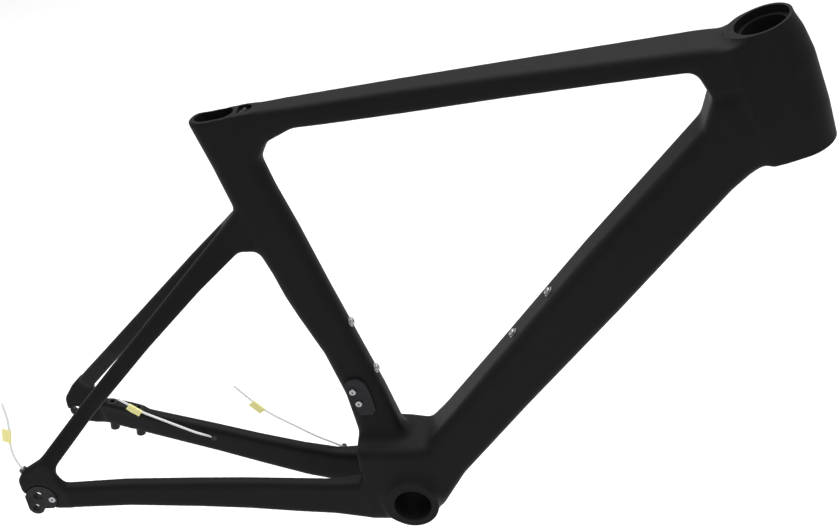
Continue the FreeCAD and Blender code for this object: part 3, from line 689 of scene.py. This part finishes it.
# The seat tube's mouth: "ahead" is counted forward from the post's front face, and depth down from the mouth.
mouth = {
    "angle": math.radians(74.6),
    "centre": Vector(mounts["seatpost"]["pos_m"]),
    "length": 40 * mm,
    "width": 20 * mm,
    "corner": 9.5 * mm,
    "depth": 112 * mm,
    "above": 14 * mm,
    "pocketWidth": 15 * mm,
    "pocketFront": 19.5 * mm,
    "pocketDepth": 34 * mm,
    "pocketRear": -6 * mm,
    "ribThick": 4.5 * mm,
    "ribDepth": 8 * mm,
}


def mouthPoint(depth, ahead, y=0.0):
    fore = Vector((math.sin(mouth["angle"]), 0, math.cos(mouth["angle"])))
    down = Vector((math.cos(mouth["angle"]), 0, -math.sin(mouth["angle"])))
    return mouth["centre"] + fore * (mouth["length"] / 2 + ahead) + down * depth + side * y


def socketCutter(m, segments=12):
    ring = []
    corners = ((0, 1), (-1, 1), (-1, -1), (0, -1))
    for index, (rear, hand) in enumerate(corners):
        ahead = -m["corner"] if rear == 0 else m["corner"] - m["length"]
        y = hand * (m["width"] / 2 - m["corner"])
        for i in range(segments + 1):
            angle = math.pi / 2 * (index + i / segments)
            out, up = m["corner"] * math.cos(angle), m["corner"] * math.sin(angle)
            ring.append(mouthPoint(-m["above"], ahead + out, y + up))
    return prismMesh(ring, mouthPoint(m["depth"], 0) - mouthPoint(-m["above"], 0), "socket")


def pocketCutter(m, top, bottom, rear, segments=32):
    half = m["pocketWidth"] / 2
    ring = [mouthPoint(top, rear, -half)]
    for i in range(segments + 1):
        angle = -math.pi / 2 + math.pi * i / segments
        ahead = m["pocketFront"] - half + half * math.cos(angle)
        ring.append(mouthPoint(top, ahead, half * math.sin(angle)))
    ring.append(mouthPoint(top, rear, half))
    return prismMesh(ring, mouthPoint(bottom, 0) - mouthPoint(top, 0), "pocket")


def makeSeatTube(m):
    piece = place("seatTubeSkin", seatMesh, carbonAlong["seatTube"], "carbon", "seat_tube_upper",
                  "seat_tube_lower", "seatpost_sleeve")
    carve(piece, [
        socketCutter(m),
        pocketCutter(m, -m["above"], m["ribDepth"] + mm, m["ribThick"]),
        pocketCutter(m, m["ribDepth"], m["pocketDepth"], m["pocketRear"]),
    ])
    smoothWithCreases(piece)


makeSeatTube(mouth)
print("main triangle made")

axle = Vector(mounts["rear_axle_left"]["pos_m"])
axleBoss = 9 * mm
hangerLook = {
    "centre": Vector((-402 * mm, 0, 65.5 * mm)),
    "radius": 18.1 * mm,
    "floor": -75.5 * mm,  # y of the recess's flat bottom
    "tab": Vector((-411.2 * mm, 0, 53.3 * mm)),
    "tabRadius": 9.6 * mm,
    "tabFloor": -72.5 * mm,
    "outside": -90 * mm,
}


def sideTool(centre, radius, start, end, name):
    return tubeCutter(Vector((centre.x, (start + end) / 2, centre.z)), side, radius, abs(end - start), name)


def makeDropouts(h):
    right = place("dropoutRightSkin", rightDropout, carbonAlong["stays"], "carbon", "dropout_right")
    axleTool = sideTool(axle, axleBoss, h["outside"], 0, "axle")
    neck = [Vector((h["tab"].x + x * h["tabRadius"], h["outside"], z))
            for x, z in ((-1, h["tab"].z), (1, h["tab"].z), (1, axle.z), (-1, axle.z))]
    carve(right, [
        sideTool(h["centre"], h["radius"], h["outside"], h["floor"], "recess"),
        sideTool(h["tab"], h["tabRadius"], h["outside"], h["tabFloor"], "tabRoom"),
        prismMesh(neck, side * (h["tabFloor"] - h["outside"]), "neckRoom"),
        axleTool,
    ])
    smoothWithCreases(right)
    left = place("dropoutLeftSkin", leftDropout, carbonAlong["stays"], "carbon", "dropout_left")
    carve(left, [sideTool(axle, axleBoss, 0, -h["outside"], "axle")])
    smoothWithCreases(left)


brakeSleeve = 5.5 * mm


def makeStays():
    left = place("chainstayLeftSkin", leftStay, carbonAlong["stays"], "carbon", "chainstay_left",
                 "brake_mount_pad")
    for bolt in (mounts["brake_bolt_front"], mounts["brake_bolt_rear"]):
        through = 2 * bolt["dims"]["length_mm"] * mm
        carve(left, [tubeCutter(bolt["pos_m"], bolt["axis"], brakeSleeve, through, "bolt")])
    smoothWithCreases(left)
    right = place("chainstayRightSkin", rightStay, carbonAlong["stays"], "carbon", "chainstay_right")
    smoothWithCreases(right)
    laid = carbonAlong["seatstays"]
    upperLeft = place("seatstayLeftSkin", leftSeatstay, laid, "carbon", "seatstay_left")
    upperRight = place("seatstayRightSkin", rightSeatstay, laid, "carbon", "seatstay_right",
                       "seatstay_bridge")
    smoothWithCreases(upperLeft)
    smoothWithCreases(upperRight)


makeDropouts(hangerLook)
makeStays()
print("rear triangle made")

linerRadius = 1.3 * mm
linerSteps = 12
linerRoundness = 8
tagLook = {"length": 17 * mm, "width": 8.5 * mm, "thick": 0.6 * mm, "curl": 0.9 * mm, "wave": 0.25 * mm,
           "waves": 1.3, "gap": 0.02 * mm, "columns": 16, "rows": 9, "wrap": 40}
liners = {  # points in mm, from the port outwards
    "gearCable": {
        "points": [(-413.0, -75.5, 102.5), (-417.0, -75.2, 112.5), (-419.8, -74.6, 126.0),
                   (-418.6, -73.6, 141.0), (-414.6, -72.6, 157.0), (-412.2, -72.0, 174.5),
                   (-412.6, -72.0, 193.0)],
        "tagRun": 3, "length": 92.2 * mm, "nodes": "gear_cable",
    },
    "brakeHose": {
        "points": [(-236.5, 42.5, 42.2), (-251.0, 39.0, 50.0), (-271.0, 38.4, 62.3), (-293.0, 38.8, 75.0),
                   (-313.0, 39.4, 86.0), (-326.5, 40.0, 97.5), (-337.0, 40.0, 106.5)],
        "tagRun": 4, "length": 120.0 * mm, "nodes": "brake_hose",
    },
    "shiftCable": {
        "points": [(-84.0, 33.0, 26.0), (-95.0, 32.6, 34.0), (-112.0, 31.8, 44.0), (-138.0, 30.6, 65.0),
                   (-163.0, 30.0, 84.5), (-178.5, 30.0, 103.0), (-193.5, 30.0, 123.5)],
        "tagRun": 4, "length": 147.9 * mm, "nodes": "shift_cable",
    },
}


def makeTag(name, start, end, look):
    # tape folded once round the liner: a sleeve and a free flag that curls a little
    middle, along = (start + end) / 2, (end - start).normalized()
    out = along.cross(side).normalized()
    across = out.cross(along).normalized()
    bm = bmesh.new()
    half = look["length"] / 2
    rings = []
    for radius in (linerRadius + look["thick"], linerRadius + look["gap"]):
        for slide in (-half, half):
            ring = []
            for i in range(look["wrap"]):
                angle = math.tau * i / look["wrap"]
                outward = out * math.cos(angle) + across * math.sin(angle)
                ring.append(bm.verts.new(middle + along * slide + radius * outward))
            rings.append(ring)
    for one, two in ((0, 1), (3, 2), (1, 3), (2, 0)):
        for i in range(look["wrap"]):
            j = (i + 1) % look["wrap"]
            bm.faces.new([rings[one][i], rings[one][j], rings[two][j], rings[two][i]])
    sheets = []
    for hand in (1, -1):
        sheet = []
        for r in range(look["rows"] + 1):
            far = r / look["rows"]
            row = []
            for c in range(look["columns"] + 1):
                near = c / look["columns"]
                ripple = look["wave"] * far * math.sin(math.tau * near * look["waves"])
                bend = look["curl"] * far * far + ripple
                reach = linerRadius + far * (look["width"] - linerRadius)
                spot = out * reach + along * (near - 0.5) * look["length"]
                row.append(bm.verts.new(middle + spot + across * (bend + hand * look["thick"] / 2)))
            sheet.append(row)
        sheets.append(sheet)
    top, bottom = sheets
    rows, columns = look["rows"], look["columns"]
    for r in range(rows):
        for c in range(columns):
            bm.faces.new([top[r][c], top[r][c + 1], top[r + 1][c + 1], top[r + 1][c]])
            bm.faces.new([bottom[r][c], bottom[r + 1][c], bottom[r + 1][c + 1], bottom[r][c + 1]])
    rim = [(0, c) for c in range(columns)] + [(r, columns) for r in range(rows)]
    rim += [(rows, c) for c in range(columns, 0, -1)] + [(r, 0) for r in range(rows, 0, -1)]
    for (r1, c1), (r2, c2) in zip(rim, rim[1:] + rim[:1]):
        bm.faces.new([top[r1][c1], top[r2][c2], bottom[r2][c2], bottom[r1][c1]])
    bmesh.ops.recalc_face_normals(bm, faces=bm.faces)
    mesh = bpy.data.meshes.new(name)
    bm.to_mesh(mesh)
    bm.free()
    return mesh


def makeLiner(name, look):
    points = [Vector(p) * mm for p in look["points"]]
    curve = bpy.data.curves.new(name, "CURVE")
    curve.dimensions = "3D"
    spline = curve.splines.new("NURBS")
    spline.points.add(len(points) - 1)
    for control, point in zip(spline.points, points):
        control.co = (*point, 1)
    spline.order_u = 3
    spline.use_endpoint_u = True
    spline.resolution_u = linerSteps
    curve.bevel_depth = linerRadius
    curve.bevel_resolution = linerRoundness
    curve.use_fill_caps = True
    curve.materials.append(linerPlastic)
    liner = bpy.data.objects.new(name + "Liner", curve)
    bpy.context.scene.collection.objects.link(liner)
    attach(liner, "frame")
    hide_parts(look["nodes"] + "_liner")
    run = look["tagRun"]
    mesh = makeTag(name + "Tag", points[run], points[run + 1], tagLook)
    tag = place(name + "Tag", mesh, tape, "yellow_tape", look["nodes"] + "_tag")
    smoothWithCreases(tag)


for linerName, linerSetup in liners.items():
    makeLiner(linerName, linerSetup)
print("liners made")

roundingSteps = 3
roundedFrom = math.radians(35)  # edges sharper than this are rounded
hardware = {  # material, rounding in mm, CAD nodes
    "brightSteel": (steel, 0.25, ["down_tube_cage_screw_lower", "down_tube_cage_screw_upper",
                                  "seat_tube_cage_screw_lower", "seat_tube_cage_screw_upper",
                                  "front_mount_screw_lower", "front_mount_screw_upper", "hanger_screw"]),
    "blackSteel": (blackSteel, 0.25, ["clamp_screw"]),
    "alloy": (alloy, 0.25, ["down_tube_boss_lower", "down_tube_boss_upper", "seat_tube_boss_lower",
                            "seat_tube_boss_upper"]),
    "anodised": (anodised, 0.6, ["derailleur_hanger", "front_derailleur_mount", "clamp_ramp", "clamp_wedge",
                                   "brake_mount_sleeves", "thru_axle_insert"]),
    "carbon": (carbonAlong["headTube"], 0.3, ["upper_headset_seat", "lower_headset_seat"]),
    "rubber": (rubber, 0.5, ["gear_cable_port", "brake_hose_port", "shift_cable_port"]),
}
for material, rounding, names in hardware.values():
    for name in names:
        node = frame["nodes"][name]
        node.data.materials.clear()
        node.data.materials.append(material)
        bevel = node.modifiers.new("edges", "BEVEL")
        bevel.width = rounding * mm
        bevel.segments = roundingSteps
        bevel.limit_method = "ANGLE"
        bevel.angle_limit = roundedFrom
        bevel.harden_normals = True
print("hardware dressed")

studio = {
    "floorZ": -0.27, "floorSize": 12.0, "floorColour": (0.92, 0.92, 0.92), "floorDull": (0.86, 0.86, 0.86),
    "floorRoughness": 0.9, "floorHaze": 0.05, "floorHazeSize": 3.0, "worldStrength": 0.6,
    "softboxSize": 3.2, "softboxPower": 105.0, "softboxAt": (-0.1, 0.5, 2.6), "softboxAim": (0, 0, 0.25),
}


def makeStudio(look):
    half = look["floorSize"] / 2
    corners = [(-half, -half, 0), (half, -half, 0), (half, half, 0), (-half, half, 0)]
    mesh = meshOf(corners, [[0, 1, 2, 3]], "floor")
    floor = bpy.data.objects.new("floor", mesh)
    floor.location.z = look["floorZ"]
    bpy.context.scene.collection.objects.link(floor)
    material, tree, shader = newMaterial("paleFloor")
    haze = useGroup(tree, hazeAndTopLightGroup, Amount=look["floorHaze"], Size=look["floorHazeSize"])
    pale = mixColour(tree, haze.outputs["Mask"], look["floorColour"], look["floorDull"])
    tree.links.new(pale, shader.inputs["Base Color"])
    shader.inputs["Roughness"].default_value = look["floorRoughness"]
    mesh.materials.append(material)
    world = bpy.data.worlds.new("studio")
    world.use_nodes = True
    background = world.node_tree.nodes["Background"]
    background.inputs["Color"].default_value = (1, 1, 1, 1)
    background.inputs["Strength"].default_value = look["worldStrength"]
    bpy.context.scene.world = world
    lamp = bpy.data.lights.new("softbox", "AREA")
    lamp.size = look["softboxSize"]
    lamp.energy = look["softboxPower"]
    softbox = bpy.data.objects.new("softbox", lamp)
    softbox.location = look["softboxAt"]
    away = Vector(look["softboxAt"]) - Vector(look["softboxAim"])
    softbox.rotation_euler = away.to_track_quat("Z", "Y").to_euler()
    bpy.context.scene.collection.objects.link(softbox)


makeStudio(studio)
bpy.context.scene.view_settings.view_transform = "Standard"
